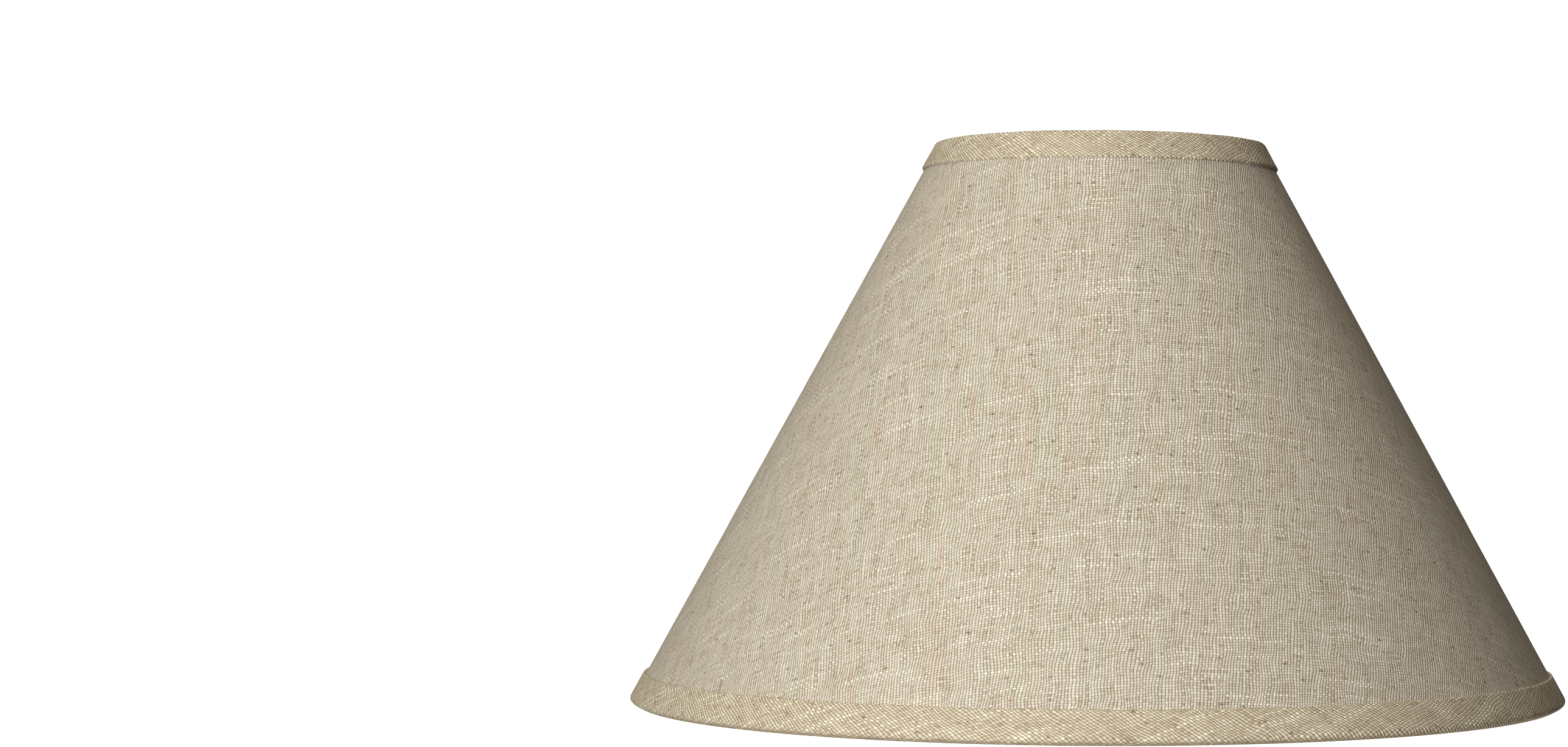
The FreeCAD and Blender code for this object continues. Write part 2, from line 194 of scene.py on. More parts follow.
def lathe(
    name: str, outline: Outline, steps: int, start: float = 0.0, sweep: float = math.tau
) -> bpy.types.Object:
    """Spins a closed outline about the shade's axis.

    Args:
        name: The new object's name.
        outline: Radius and height of each corner, in millimetres.
        steps: Segments in the sweep.
        start: Angle of the first section, anticlockwise from +X.
        sweep: Angle turned through; less than a whole turn gets its two ends closed.

    Returns:
        The new object, with its place in its mesh.
    """
    deselect_all()
    bpy.ops.mesh.primitive_circle_add(vertices=len(outline), radius=1, fill_type="NOTHING")
    piece = bpy.context.object
    piece.name = name
    for vertex, (radius, height) in zip(piece.data.vertices, outline):
        vertex.co = (radius * MM * math.cos(start), radius * MM * math.sin(start), height * MM)
    bpy.ops.object.mode_set(mode="EDIT")
    bpy.ops.mesh.select_all(action="SELECT")
    bpy.ops.mesh.spin(steps=steps, angle=sweep, center=(0, 0, 0), axis=(0, 0, 1))
    close_shell(open_ends=sweep < math.tau)
    return piece


def wrap_grid(
    name: str, columns: int, rows: int, place: Callable[[float, float], Vector]
) -> bpy.types.Object:
    """Bends a grid into a tube with closed ends.

    Args:
        name: The new object's name.
        columns: Faces round the tube.
        rows: Faces along the tube.
        place: Gives the place of a point from its shares of the way round and along.

    Returns:
        The new object, with its place in its mesh.
    """
    deselect_all()
    bpy.ops.mesh.primitive_grid_add(x_subdivisions=columns, y_subdivisions=rows, size=1)
    piece = bpy.context.object
    piece.name = name
    for vertex in piece.data.vertices:
        vertex.co = place(vertex.co.x + 0.5, vertex.co.y + 0.5)
    bpy.ops.object.mode_set(mode="EDIT")
    close_shell(open_ends=True)
    return piece


def join(pieces: Sequence[bpy.types.Object]) -> bpy.types.Object:
    """Joins several objects into the first one."""
    deselect_all()
    for piece in pieces:
        piece.select_set(True)
    bpy.context.view_layer.objects.active = pieces[0]
    bpy.ops.object.join()
    return pieces[0]


def smooth(piece: bpy.types.Object, degrees: float) -> None:
    """Shades a piece smooth, with creases kept where faces meet more sharply than this."""
    deselect_all()
    piece.select_set(True)
    bpy.context.view_layer.objects.active = piece
    bpy.ops.object.shade_smooth_by_angle(angle=math.radians(degrees))


def corner_places(piece: bpy.types.Object) -> np.ndarray:
    """The place of every vertex, in millimetres, one row each."""
    flat = np.empty(len(piece.data.vertices) * 3)
    piece.data.vertices.foreach_get("co", flat)
    return flat.reshape(-1, 3) / MM


def move_corners(piece: bpy.types.Object, places: np.ndarray) -> None:
    """Puts every vertex where its row says, in millimetres."""
    piece.data.vertices.foreach_set("co", (places * MM).ravel())
    piece.data.update()


def loop_angles(piece: bpy.types.Object, places: np.ndarray) -> tuple[np.ndarray, np.ndarray]:
    """The vertex and the angle from the front of every face corner, unbroken within each face.

    Args:
        piece: The mesh object.
        places: Its vertices' places, from corner_places.

    Returns:
        Vertex numbers and angles, one each per face corner; angles grow to the right of the front.
    """
    mesh = piece.data
    vertex = np.empty(len(mesh.loops), dtype=int)
    mesh.loops.foreach_get("vertex_index", vertex)
    centre = np.empty(len(mesh.polygons) * 3)
    mesh.polygons.foreach_get("center", centre)
    centre = centre.reshape(-1, 3)
    count = np.empty(len(mesh.polygons), dtype=int)
    mesh.polygons.foreach_get("loop_total", count)
    angle = np.arctan2(places[vertex, 0], -places[vertex, 1])
    middle = np.repeat(np.arctan2(centre[:, 0], -centre[:, 1]), count)
    return vertex, angle - math.tau * np.round((angle - middle) / math.tau)


def write_map(piece: bpy.types.Object, across: np.ndarray, up: np.ndarray) -> None:
    """Writes the piece's cloth map: where each face corner lies on the flat cloth, in metres."""
    layer = piece.data.uv_layers.active or piece.data.uv_layers.new(name="cloth")
    layer.name = "cloth"
    layer.data.foreach_set("uv", (np.column_stack([across, up]) * MM).ravel())


# ---------------------------------------------------------------- finishes


def linear(colour: str) -> tuple[float, float, float, float]:
    """Turns an sRGB hex colour to linear light.

    Args:
        colour: Six hex digits after a hash.

    Returns:
        Linear red, green, blue and an alpha of one.
    """
    parts = [int(colour[place : place + 2], 16) / 255 for place in (1, 3, 5)]
    light = [part / 12.92 if part <= 0.04045 else ((part + 0.055) / 1.055) ** 2.4 for part in parts]
    return (*light, 1.0)


class Finish:
    """A material being made: its node tree, its shader and its name."""

    def __init__(self, name: str) -> None:
        """Starts a material of this name with one Principled shader."""
        self.material = bpy.data.materials.new(name)
        self.material.use_nodes = True
        self.tree = self.material.node_tree
        self.shader = next(n for n in self.tree.nodes if n.type == "BSDF_PRINCIPLED")

    def add(self, kind: str, inputs: dict[int | str, Any] | None = None, **settings: Any) -> bpy.types.Node:
        """Adds a node with its settings and links.

        Args:
            kind: The node's type, without its ShaderNode prefix.
            inputs: A value, a socket or a node (its first output) for each named or numbered input.
            **settings: The node's own properties.

        Returns:
            The new node.
        """
        node = self.tree.nodes.new(f"ShaderNode{kind}")
        for name, value in settings.items():
            setattr(node, name, value)
        for socket, value in (inputs or {}).items():
            if isinstance(value, bpy.types.Node):
                value = value.outputs[0]
            if isinstance(value, bpy.types.NodeSocket):
                self.tree.links.new(value, node.inputs[socket])
            else:
                node.inputs[socket].default_value = value
        return node

    def ramp(self, factor: Any, stops: Sequence[tuple[float, str]]) -> bpy.types.Node:
        """Adds a colour ramp through these places and sRGB hex colours."""
        node = self.add("ValToRGB", {"Fac": factor})
        elements = node.color_ramp.elements
        while len(elements) < len(stops):
            elements.new(0.5)
        for element, (place, colour) in zip(elements, stops):
            element.position = place
            element.color = linear(colour)
        return node

    def surface(self, links: dict[str, Any], **constants: Any) -> None:
        """Sets the shader's linked sockets and its constants (underscores stand for spaces)."""
        for socket, node in links.items():
            self.tree.links.new(node.outputs[0], self.shader.inputs[socket])
        for name, value in constants.items():
            self.shader.inputs[name.replace("_", " ")].default_value = value

    def dress(self, piece: bpy.types.Object) -> None:
        """Puts the material on a piece as its only one."""
        piece.data.materials.clear()
        piece.data.materials.append(self.material)


@dataclass(frozen=True)
class ThreadRun:
    """One family of parallel threads: its direction on the flat cloth and its pitch."""

    degrees: float
    pitch: float

    @property
    def ahead(self) -> tuple[float, float, float]:
        """Unit vector along the threads."""
        angle = math.radians(self.degrees)
        return (math.cos(angle), math.sin(angle), 0.0)

    @property
    def count(self) -> tuple[float, float, float]:
        """Vector across the threads whose product with a place in millimetres counts threads."""
        angle = math.radians(self.degrees)
        return (-math.sin(angle) / self.pitch, math.cos(angle) / self.pitch, 0.0)


@dataclass(frozen=True)
class LinenLookCloth:
    """Slub-yarn plain weave: a linen-look polyester and cotton cloth, woven, unglazed and matt.

    Uneven natural-coloured yarns give each thread its own tone, thick pale slubs show as broken dashes
    where they pass over, and bits of dark husk fleck the surface. Loose fibres leave it with hardly any
    gloss. Lengths are in millimetres, and scales are per millimetre.
    """

    name: str
    warp: ThreadRun
    weft: ThreadRun
    yarn: tuple[tuple[float, str], ...] = (
        (0.28, "#AFA088"),
        (0.42, "#CEC1AB"),
        (0.52, "#DBD0BC"),
        (0.62, "#E4DBC9"),
        (0.76, "#F5EDDD"),
    )
    bands: tuple[tuple[float, str], ...] = ((0.35, "#FCF8F6"), (0.5, "#FAFAFA"), (0.65, "#F7FAF7"))
    band_scale: tuple[float, float, float] = (0.16, 0.008, 1.0)
    slub: str = "#F7EEDA"
    husk: str = "#7C6042"
    gap_shade: float = 0.06
    gap_depth: float = 0.66
    wander_scale: float = 0.07
    wander_threads: float = 0.45
    warp_streak: float = 0.045
    weft_streak: float = 0.1
    slub_scale: float = 0.02
    slub_start: float = 0.635
    slub_edge: float = 0.045
    slub_rise: float = 0.6
    fleck_scale: float = 0.15
    fleck_shape: tuple[float, float, float] = (0.75, 1.25, 1.0)
    bump_height: float = 0.28

    def make(self) -> Finish:
        """Makes the material.

        Returns:
            The finish, which reads the piece's cloth map.
        """
        finish = Finish(self.name)
        add = finish.add
        flat = add("UVMap", uv_map="cloth")
        place = add("VectorMath", {0: flat, "Scale": 1 / MM}, operation="SCALE")
        # yarns wander by a fraction of their pitch over 10 to 20 mm
        drift = add(
            "TexNoise", {"Vector": place, "Scale": self.wander_scale, "Detail": 1.0}, noise_dimensions="2D"
        )
        sideways = {"To Min": -self.wander_threads, "To Max": self.wander_threads}
        wander = add("MapRange", {"Value": drift, "From Min": 0.3, "From Max": 0.7, **sideways}, clamp=False)

        warp_number, warp_crown, warp_tone, warp_slub = self.threads(
            finish, place, wander, self.warp, seed=3.0, streak=self.warp_streak
        )
        weft_number, weft_crown, weft_tone, weft_slub = self.threads(
            finish, place, wander, self.weft, seed=11.0, streak=self.weft_streak
        )
        both = add("Math", {0: warp_number, 1: weft_number}, operation="ADD")
        warp_over = add("Math", {0: both, 1: 1.0}, operation="PINGPONG")

        # an over-passing thread is round across and dips at its two ends; the softer wefts lie flatter
        warp_dip = add("Math", {0: weft_crown, 1: 0.45, 2: 0.55}, operation="MULTIPLY_ADD")
        weft_dip = add("Math", {0: warp_crown, 1: 0.65, 2: 0.35}, operation="MULTIPLY_ADD")
        weft_round = add("Math", {0: weft_crown, 1: 0.6, 2: 0.4}, operation="MULTIPLY_ADD")
        warp_height = add("Math", {0: warp_crown, 1: warp_dip}, operation="MULTIPLY")
        weft_height = add("Math", {0: weft_round, 1: weft_dip}, operation="MULTIPLY")
        height = add("Mix", {0: warp_over, NUMBER_A: weft_height, NUMBER_B: warp_height}, data_type="FLOAT")

        # the warp has fewer and fainter slubs than the weft
        fewer = {"From Min": 0.66, "From Max": 0.71, "To Min": 0.0, "To Max": 0.6}
        more = {"From Min": self.slub_start, "From Max": self.slub_start + self.slub_edge}
        warp_thick = add("MapRange", {"Value": warp_slub, **fewer})
        weft_thick = add("MapRange", {"Value": weft_slub, **more, "To Min": 0.0, "To Max": 0.9})
        thick = add("Mix", {0: warp_over, NUMBER_A: weft_thick, NUMBER_B: warp_thick}, data_type="FLOAT")

        tone = add("Mix", {0: warp_over, NUMBER_A: weft_tone, NUMBER_B: warp_tone}, data_type="FLOAT")
        colour = finish.ramp(tone, self.yarn)
        slub, husk = linear(self.slub), linear(self.husk)
        band = self.dye_bands(finish, place)
        for factor, layer, blend in (
            (thick, slub, "MIX"),
            (self.flecks(finish, place), husk, "MIX"),
            (1.0, band, "MULTIPLY"),
        ):
            inputs = {0: factor, COLOUR_A: colour, COLOUR_B: layer}
            colour = add("Mix", inputs, data_type="RGBA", blend_type=blend).outputs[COLOUR_OUT]

        # the gaps between threads lie in shade
        gap = add("Math", {0: height, 1: self.gap_depth}, operation="POWER")
        lit = {"From Min": 0.0, "From Max": 0.9, "To Min": self.gap_shade, "To Max": 1.0}
        shade = add("MapRange", {"Value": gap, **lit})
        shaded = add("VectorMath", {0: colour, "Scale": shade}, operation="SCALE")
        raised = add("Math", {0: thick, 1: self.slub_rise, 2: height}, operation="MULTIPLY_ADD")
        bump = add("Bump", {"Height": raised, "Strength": 0.75, "Distance": self.bump_height * MM})
        finish.surface({"Base Color": shaded, "Normal": bump}, Roughness=0.88, Specular_IOR_Level=0.04)
        return finish

    def threads(
        self,
        finish: Finish,
        place: bpy.types.Node,
        wander: bpy.types.Node,
        run: ThreadRun,
        seed: float,
        streak: float,
    ) -> tuple[bpy.types.Node, bpy.types.Node, bpy.types.Node, bpy.types.Node]:
        """Makes one family of threads.

        Args:
            finish: The material being made.
            place: The place on the flat cloth, in millimetres.
            wander: How far the threads stray sideways there, in threads.
            run: Their direction and pitch.
            seed: Where the family reads its noise.
            streak: How fast the tone changes along a thread, per millimetre.

        Returns:
            The thread's number, its roundness across, its tone and its slub noise.
        """
        add = finish.add
        counted = add("VectorMath", {0: place, 1: run.count}, operation="DOT_PRODUCT").outputs["Value"]
        counted = add("Math", {0: counted, 1: wander}, operation="ADD")
        ahead = add("VectorMath", {0: place, 1: run.ahead}, operation="DOT_PRODUCT").outputs["Value"]
        number = add("Math", {0: counted}, operation="FLOOR")
        share = add("Math", {0: counted}, operation="FRACT")
        offset = add("Math", {0: share, 1: 2.0, 2: -1.0}, operation="MULTIPLY_ADD")
        square = add("Math", {0: offset, 1: offset}, operation="MULTIPLY")
        crown = add("Math", {0: 1.0, 1: square}, operation="SUBTRACT")
        # each thread reads its own lines of the noise, stretched along the thread: one for its tone, and
        # one for its slubs, which are thick places a few tens of millimetres long
        strands = []
        for lane_step, lane_start, scale in ((7.31, seed, streak), (3.77, seed * 2, self.slub_scale)):
            lane = add("Math", {0: number, 1: lane_step, 2: lane_start}, operation="MULTIPLY_ADD")
            length = add("Math", {0: ahead, 1: scale}, operation="MULTIPLY")
            strands.append(add("CombineXYZ", {0: lane, 1: length}))
        tone = add("TexNoise", {"Vector": strands[0], "Scale": 1.0, "Detail": 3.0, "Roughness": 0.7})
        slub = add("TexNoise", {"Vector": strands[1], "Scale": 1.0, "Detail": 1.0})
        return number, crown, tone, slub

    def flecks(self, finish: Finish, place: bpy.types.Node) -> bpy.types.Node:
        """Makes the husk flecks: about 1.7 by 1 mm, of uneven depth, one to a square centimetre or so."""
        stretched = finish.add("VectorMath", {0: place, 1: self.fleck_shape}, operation="MULTIPLY")
        inputs = {"Vector": stretched, "Scale": self.fleck_scale}
        cells = finish.add("TexVoronoi", inputs, voronoi_dimensions="2D")
        fading = {"From Min": 0.04, "From Max": 0.15, "To Min": 1.0, "To Max": 0.0}
        spot = finish.add("MapRange", {"Value": cells, **fading})
        drawn = {"From Min": 0.56, "From Max": 0.95, "To Min": 0.0, "To Max": 0.85}
        draw = finish.add("MapRange", {"Value": cells.outputs["Color"], **drawn})
        return finish.add("Math", {0: spot, 1: draw}, operation="MULTIPLY")

    def dye_bands(self, finish: Finish, place: bpy.types.Node) -> bpy.types.Node:
        """Makes the broad, faint bands along the warp, where a bobbin's dye turns pinkish or greenish."""
        stretched = finish.add("VectorMath", {0: place, 1: self.band_scale}, operation="MULTIPLY")
        cloud = finish.add("TexNoise", {"Vector": stretched, "Scale": 1.0, "Detail": 2.0})
        return finish.ramp(cloud, self.bands)


@dataclass(frozen=True)
class RolledStyrene:
    """High-impact styrene sheet, extruded and rolled: bright white, half matt, very slightly rippled.

    The ripple is 25 mm across, and the grain about 1 mm; the grain's scale is per metre.
    """

    name: str = "rolled_white_styrene"
    light: str = "#F4F0E6"
    deep: str = "#EAE4D6"
    ripple: float = 25.0
    grain_scale: float = 900.0

    def make(self) -> Finish:
        """Makes the material."""
        finish = Finish(self.name)
        place = finish.add("TexCoord").outputs["Object"]
        cloud = finish.add("TexNoise", {"Vector": place, "Scale": 1 / (self.ripple * MM), "Detail": 3.0})
        grain = finish.add("TexNoise", {"Vector": place, "Scale": self.grain_scale, "Detail": 1.0})
        colour = finish.ramp(cloud, ((0.35, self.deep), (0.65, self.light)))
        relief = finish.add("Math", {0: grain, 1: 0.3, 2: cloud}, operation="MULTIPLY_ADD")
        bump = finish.add("Bump", {"Height": relief, "Strength": 0.35, "Distance": 0.15 * MM})
        finish.surface({"Base Color": colour, "Normal": bump}, Roughness=0.48, IOR=1.58)
        return finish


@dataclass(frozen=True)
class WireMetal:
    """Cold-drawn steel wire or stamping, bare or brass plated: bright, with fine drawing marks.

    The dull clouds are about 6 mm across and the marks 0.4 mm; their scales are per metre.
    """

    name: str
    bright: str
    dull: str
    roughness: float
    cloud_scale: float = 160.0
    mark_scale: float = 2400.0

    def make(self) -> Finish:
        """Makes the material."""
        finish = Finish(self.name)
        place = finish.add("TexCoord").outputs["Object"]
        cloud = finish.add(
            "TexNoise", {"Vector": place, "Scale": self.cloud_scale, "Detail": 4.0, "Roughness": 0.65}
        )
        marks = finish.add("TexNoise", {"Vector": place, "Scale": self.mark_scale, "Detail": 2.0})
        colour = finish.ramp(cloud, ((0.38, self.dull), (0.6, self.bright)))
        # the bright places are the smoother ones
        spread = {"To Min": self.roughness + 0.12, "To Max": self.roughness - 0.05}
        rough = finish.add("MapRange", {"Value": cloud, "From Min": 0.3, "From Max": 0.7, **spread})
        bump = finish.add("Bump", {"Height": marks, "Strength": 0.3, "Distance": 0.03 * MM})
        finish.surface({"Base Color": colour, "Roughness": rough, "Normal": bump}, Metallic=1.0)
        return finish


@dataclass(frozen=True)
class AdhesiveStrip:
    """Double-sided acrylic adhesive on a thin film: milky, glossy, with bubbles under 2 mm across."""

    name: str = "acrylic_adhesive_film"
    bubble_scale: float = 600.0

    def make(self) -> Finish:
        """Makes the material."""
        finish = Finish(self.name)
        place = finish.add("TexCoord").outputs["Object"]
        bubbles = finish.add("TexVoronoi", {"Vector": place, "Scale": self.bubble_scale})
        colour = finish.ramp(bubbles, ((0.1, "#F3EFDF"), (0.5, "#DFD8C0")))
        bump = finish.add("Bump", {"Height": bubbles, "Strength": 0.3, "Distance": 0.05 * MM})
        finish.surface({"Base Color": colour, "Normal": bump}, Roughness=0.22, IOR=1.47)
        return finish


# ---------------------------------------------------------------- cloth and liner


@dataclass
class Cover:
    """The cloth: one turn round the liner, with its folded end lapped over its start at the back.

    The lap reaches to the left of the seam line, its folded edge is full, and its riser climbs from the
    turn beneath.
    """

    wall: Wall
    finish: Finish
    turns: int = 384
    rows: int = 24
    lap: float = 12.0
    riser: float = 2.2
    fold: float = 6.0
    lap_columns: int = 28
    lap_rows: int = 60

    @property
    def inside(self) -> float:
        """Where the cloth's inner face lies."""
        return self.wall.liner + self.wall.glue

    @property
    def lap_inside(self) -> float:
        """Where the lapped end's inner face lies."""
        return self.inside + self.wall.cover + 2 * self.wall.glue + self.wall.seam_tape

    def build(self) -> bpy.types.Object:
        """Makes the cloth, its lap and its map.

        Returns:
            The finished cover.
        """
        section = self.wall.band(self.inside, self.inside + self.wall.cover, self.rows)
        cloth = lathe("cover_cloth", section, self.turns, start=math.pi / 2)
        cover = join([cloth, wrap_grid("cover_lap", self.lap_columns, self.lap_rows, self.lap_place)])
        self.map_flat(cover)
        smooth(cover, CREASE_CLOTH)
        self.finish.dress(cover)
        return cover

    def lap_place(self, round_share: float, up_share: float) -> Vector:
        """A point on the lapped end, whose section is a thin strip with a thick folded edge.

        Args:
            round_share: How far round the strip's section.
            up_share: How far up the wall.

        Returns:
            The place in metres.
        """
        top, bottom = self.lap_inside + self.wall.cover, self.lap_inside
        low = self.inside + 0.5 * self.wall.cover
        section = [
            (self.riser, low + 0.2),
            (self.riser * 0.75, low + 0.5),
            (self.riser * 0.4, top - 0.35),
            (0.0, top - 0.08),
            (-1.2, top),
            (-self.lap + self.fold, top),
            (-self.lap + 3.0, top + 0.06),
            (-self.lap + 0.7, top + 0.02),
            (-self.lap + 0.15, top - 0.22),
            (-self.lap, bottom + 0.05),
            (-self.lap + 0.2, bottom - 0.2),
            (-self.lap + 1.0, bottom - 0.28),
            (0.0, bottom - 0.1),
            (self.riser * 0.7, low - 0.1),
        ]
        count = len(section)
        reach = (round_share * count) % count
        first = int(reach)
        x0, out0 = section[first]
        x1, out1 = section[(first + 1) % count]
        part = reach - first
        sideways, out = x0 + (x1 - x0) * part, out0 + (out1 - out0) * part
        radius, height = self.wall.place(Edge.BOTTOM, self.wall.length * up_share, out)
        return Vector((sideways, math.sqrt(radius**2 - sideways**2), height)) * MM

    def map_flat(self, cover: bpy.types.Object) -> None:
        """Lays the cone out flat, so that the weave runs straight across it as on the cut cloth."""
        places = corner_places(cover)
        vertex, angle = loop_angles(cover, places)
        radius = np.hypot(places[:, 0], places[:, 1])
        climbed = self.wall.climb_of(radius, places[:, 2])
        slant = (self.wall.apex_distance() - climbed)[vertex]
        lapped = self.is_lap(places)[vertex] & (angle < 0)
        turned = np.where(lapped, angle + math.tau, angle) * self.wall.sine
        write_map(cover, slant * np.sin(turned), -slant * np.cos(turned))

    def is_lap(self, places: np.ndarray) -> np.ndarray:
        """Which vertices are on the lapped end."""
        out = self.wall.out_of(np.hypot(places[:, 0], places[:, 1]), places[:, 2])
        clear_of_turn = self.inside + self.wall.cover + 0.02
        return (out > clear_of_turn) & (places[:, 1] > 0)

    def flat_size(self) -> tuple[tuple[float, float], float]:
        """The cut cloth's bounding width and length, and its area, in metres."""
        wall = self.wall
        outer = wall.apex_distance() - wall.wrap
        inner = outer - wall.length
        half = math.pi * wall.sine
        width = 2 * outer * math.sin(half) + self.lap
        length = outer - inner * math.cos(half)
        area = half * (outer**2 - inner**2) + self.lap * wall.length
        return (width * MM, length * MM), area * MM * MM


@dataclass
class Liner:
    """The stiff white sheet inside the cloth, its two ends meeting at the back."""

    wall: Wall
    finish: Finish
    joint: float = 0.4
    turns: int = 320
    rows: int = 8

    def build(self) -> bpy.types.Object:
        """Makes the sheet with a narrow joint up the back."""
        section = self.wall.band(0.0, self.wall.liner, self.rows)
        half = self.joint / 2 / self.wall.bottom_radius
        liner = lathe("liner_sheet", section, self.turns, math.pi / 2 + half, math.tau - 2 * half)
        smooth(liner, CREASE_CLOTH)
        self.finish.dress(liner)
        return liner


# ---------------------------------------------------------------- folded tape


@dataclass
class Trim:
    """Bias tape folded over an edge of the wall and its ring, with its end lapped at the back.

    Its corner is the fold's radius at the wall's edge and its shoulder the roll of its own turned edge.
    The swell is a small rise and fall of its face, and the wave a small wander of its edge.
    """

    wall: Wall
    finish: Finish
    edge: Edge
    width: float
    turn_in: float = 10.0
    landing: float = 6.5
    corner: float = 1.3
    shoulder: float = 0.9
    steps: int = 480
    tape_lap: float = 16.0
    lap_offset: float = 26.0
    end_steps: int = 12
    end_thickness: float = 0.7
    end_lift: float = 0.25
    end_inset: float = 0.5
    cover_lap: float = 12.0
    lap_rise: float = 0.8
    seed: float = 3.0
    swell: float = 0.09
    swell_length: float = 9.0
    swell_height: float = 6.0
    wave: float = 0.22
    wave_length: float = 22.0

    def build(self) -> bpy.types.Object:
        """Makes the tape, its lapped end and its map.

        Returns:
            The finished trim.
        """
        name = f"{self.edge.value}_trim_tape"
        path = self.path()
        tape = lathe(name, self.ribbon(path, self.wall.trim, 0.0), self.steps, start=math.pi / 2)
        radius = self.wall.place(self.edge, self.width / 2, self.wall.stack)[0]
        start = math.pi / 2 + self.lap_offset / radius
        outside = [point for point in path if point[1] > self.wall.liner]
        outside[0] = (outside[0][0] - self.end_inset, outside[0][1])
        section = self.ribbon(outside, self.end_thickness, self.wall.trim / 2 + self.end_lift)
        end = lathe(f"{name}_end", section, self.end_steps, start, self.tape_lap / radius)
        trim = join([tape, end])
        self.map_flat(trim, path)
        self.settle(trim, radius)
        smooth(trim, CREASE_TAPE)
        self.finish.dress(trim)
        self.flat_size(path)
        return trim

    def flat_size(self, path: Outline) -> tuple[float, float]:
        """The tape's length and width before it is folded over the edge, in metres."""
        unfolded = sum(math.dist(first, last) for first, last in zip(path, path[1:]))
        radius = self.wall.place(self.edge, 0.0, self.wall.stack)[0]
        return (math.tau * radius + self.tape_lap) * MM, (unfolded + self.wall.trim) * MM

    def path(self) -> Outline:
        """The tape's middle line in slope coordinates, from its outer edge round to its inner edge."""
        wall, corner = self.wall, self.corner
        half = wall.trim / 2
        out = wall.stack - half
        below = -wall.slack - half
        centre = (wall.ring_wire / 2, wall.ring_out)
        hug = centre[0] - below
        last = (self.landing, -wall.glue - half)
        reach = math.hypot(last[0] - centre[0], last[1] - centre[1])
        touch = math.atan2(last[1] - centre[1], last[0] - centre[0]) - math.acos(hug / reach)
        points = [(self.width - self.shoulder - inwards, out) for inwards in (0.0, 1.0, 2.5, 4.5, 6.5, 8.5)]
        points += [
            (below + corner * (1 - math.sin(turn)), out - corner * (1 - math.cos(turn)))
            for turn in np.linspace(0, math.pi / 2, 7)
        ]
        points += [(below, share * centre[1] + (1 - share) * (out - corner)) for share in (0.35, 0.7)]
        points += [
            (centre[0] + hug * math.cos(turn), centre[1] + hug * math.sin(turn))
            for turn in np.linspace(-math.pi, touch, 14)
        ]
        points += [last, (self.turn_in - 2 * half, last[1]), (self.turn_in - half, last[1])]
        return points

    def ribbon(self, path: Outline, thickness: float, shift: float) -> Outline:
        """Gives a middle line its thickness and rounded ends.

        Args:
            path: Points of the middle line, in slope coordinates.
            thickness: The ribbon's thickness.
            shift: How far the ribbon is moved to the outer side of the path.

        Returns:
            The closed section, as radius and height in millimetres.
        """
        points = np.array(path)
        ahead = np.gradient(points, axis=0)
        ahead /= np.linalg.norm(ahead, axis=1)[:, None]
        outer_side = np.column_stack([ahead[:, 1], -ahead[:, 0]])
        points = points + outer_side * shift
        half = thickness / 2
        turns = np.linspace(0, math.pi, 7)[1:-1]
        outer = points + outer_side * half
        inner = points - outer_side * half
        last_cap = [
            points[-1] + half * (math.cos(turn) * outer_side[-1] + math.sin(turn) * ahead[-1])
            for turn in turns
        ]
        first_cap = [
            inner[0] - math.cos(turn) * self.shoulder * ahead[0] + math.sin(turn) * thickness * outer_side[0]
            for turn in np.linspace(0, math.pi / 2, 6)[:-1]
        ]
        closed = [*outer, *last_cap, *inner[::-1], *first_cap]
        return [self.wall.place(self.edge, along, out) for along, out in closed]

    def map_flat(self, trim: bpy.types.Object, path: Outline) -> None:
        """Lays the tape out flat: along the edge to the right, and across the tape upwards."""
        line = np.array([self.wall.place(self.edge, along, out) for along, out in path])
        travelled = np.concatenate([[0], np.cumsum(np.linalg.norm(np.diff(line, axis=0), axis=1))])
        places = corner_places(trim)
        section = np.column_stack([np.hypot(places[:, 0], places[:, 1]), places[:, 2]])
        across = np.zeros(len(section))
        nearest = np.full(len(section), np.inf)
        for first, last, before, after in zip(line, line[1:], travelled, travelled[1:]):
            run = last - first
            # the tape's own edge runs on past the end of its middle line
            share = np.clip((section - first) @ run / (run @ run), -2 if before == 0 else 0, 1)
            distance = np.linalg.norm(section - first - share[:, None] * run, axis=1)
            closer = distance < nearest
            nearest = np.where(closer, distance, nearest)
            across = np.where(closer, before + share * (after - before), across)
        vertex, angle = loop_angles(trim, places)
        radius = self.wall.place(self.edge, self.width / 2, self.wall.stack)[0]
        upwards = -1 if self.edge is Edge.BOTTOM else 1
        write_map(trim, angle * radius, upwards * across[vertex])

    def settle(self, trim: bpy.types.Object, radius: float) -> None:
        """Gives the tape its small unevenness, and its rise over the cloth's lap at the back.

        Args:
            trim: The tape.
            radius: The tape's own radius, which turns angles to lengths.
        """
        wall = self.wall
        places = corner_places(trim)
        outer_layer = wall.stack - wall.trim - 0.1
        for number, (x, y, z) in enumerate(places):
            distance = math.hypot(x, y)
            angle = math.atan2(x, -y)
            out = wall.out_of(distance, z)
            around = Vector((math.sin(angle), math.cos(angle), 0)) * radius
            level = Vector((0, 0, z / self.swell_height + self.seed))
            swell = noise.noise(around / self.swell_length + level)
            wave = noise.noise(around / self.wave_length + Vector((0, 0, self.seed * 2)))
            # the tape climbs steeply onto the lap's folded edge and slopes down off its riser
            on_lap = smooth_step(x, -self.cover_lap - 2.5, -self.cover_lap) * (1 - smooth_step(x, 0.5, 4.5))
            rise = self.lap_rise * on_lap if y > 0 and out > wall.liner else 0.0
            push = self.swell * swell + rise
            slide = self.wave * wave if out > outer_layer else 0.0
            outward = push * wall.cosine - slide * wall.sine
            scale = (distance + outward) / distance
            # nothing sinks below the plane that the shade stands on
            places[number] = (x * scale, y * scale, max(z + push * wall.sine + slide * wall.cosine, 0.0))
        move_corners(trim, places)


def smooth_step(value: float, low: float, high: float) -> float:
    """Rises smoothly from nought at low to one at high."""
    share = min(max((value - low) / (high - low), 0.0), 1.0)
    return share * share * (3 - 2 * share)


# ---------------------------------------------------------------- wire frame and fitter


